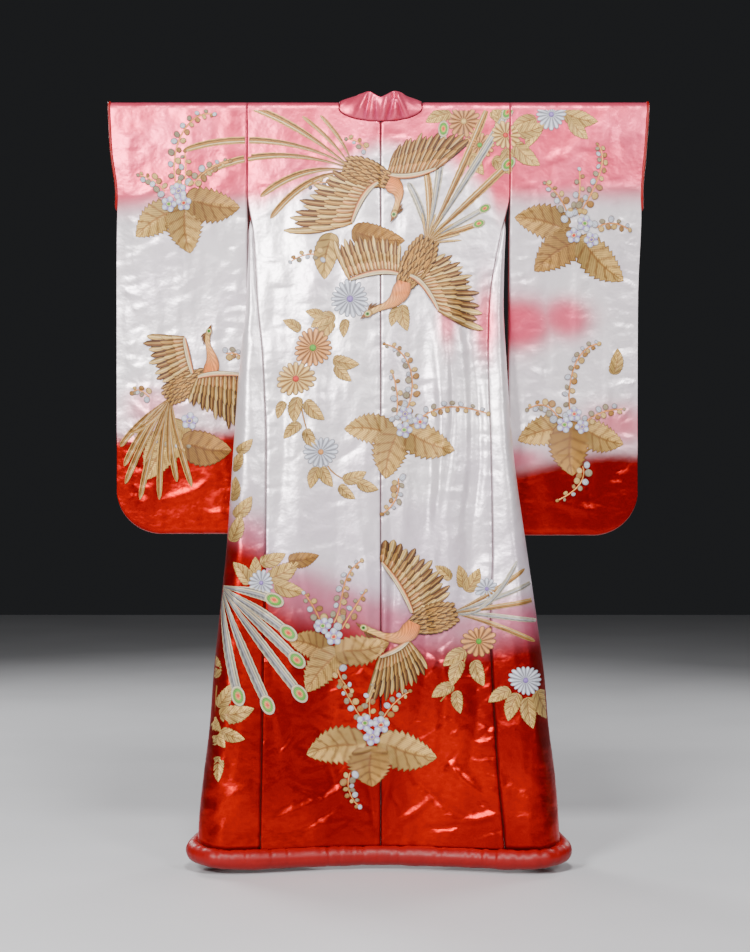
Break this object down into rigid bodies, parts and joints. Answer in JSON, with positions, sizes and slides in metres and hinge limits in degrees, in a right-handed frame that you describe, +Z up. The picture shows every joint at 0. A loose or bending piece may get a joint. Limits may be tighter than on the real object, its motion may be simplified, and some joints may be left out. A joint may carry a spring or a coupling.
{
  "type": "kimono on a hanging rod",
  "caption": "Long-sleeved open robe with wide hanging sleeves, a collar band and a wadded hem roll, hung flat over a straight rod with its back to the front.",
  "frame": {"origin": "middle of the hanging rod's axis, where it is held", "axes": "+Z up, +X along the rod towards the wearer's right, +Y from the garment's back towards its front"},
  "size_m": [1.31, 0.2434, 1.8571],
  "materials": {
    "satin_white": "satin silk, dyed from pale lilac white at mid height to red at the hem",
    "satin_pink": "satin silk, dyed pink",
    "padded_red": "wadded red silk",
    "rod_wood": "plain smooth wood"
  },
  "bodies": {
    "root": {"body_left": "satin_white", "body_right": "satin_white", "okumi_left": "satin_white", "okumi_right": "satin_white", "collar": "satin_pink", "sleeve_left": "satin_pink", "sleeve_right": "satin_pink", "cuff_left": "padded_red", "cuff_right": "padded_red", "hem_roll": "padded_red", "rod": "rod_wood"}
  },
  "joints": []
}
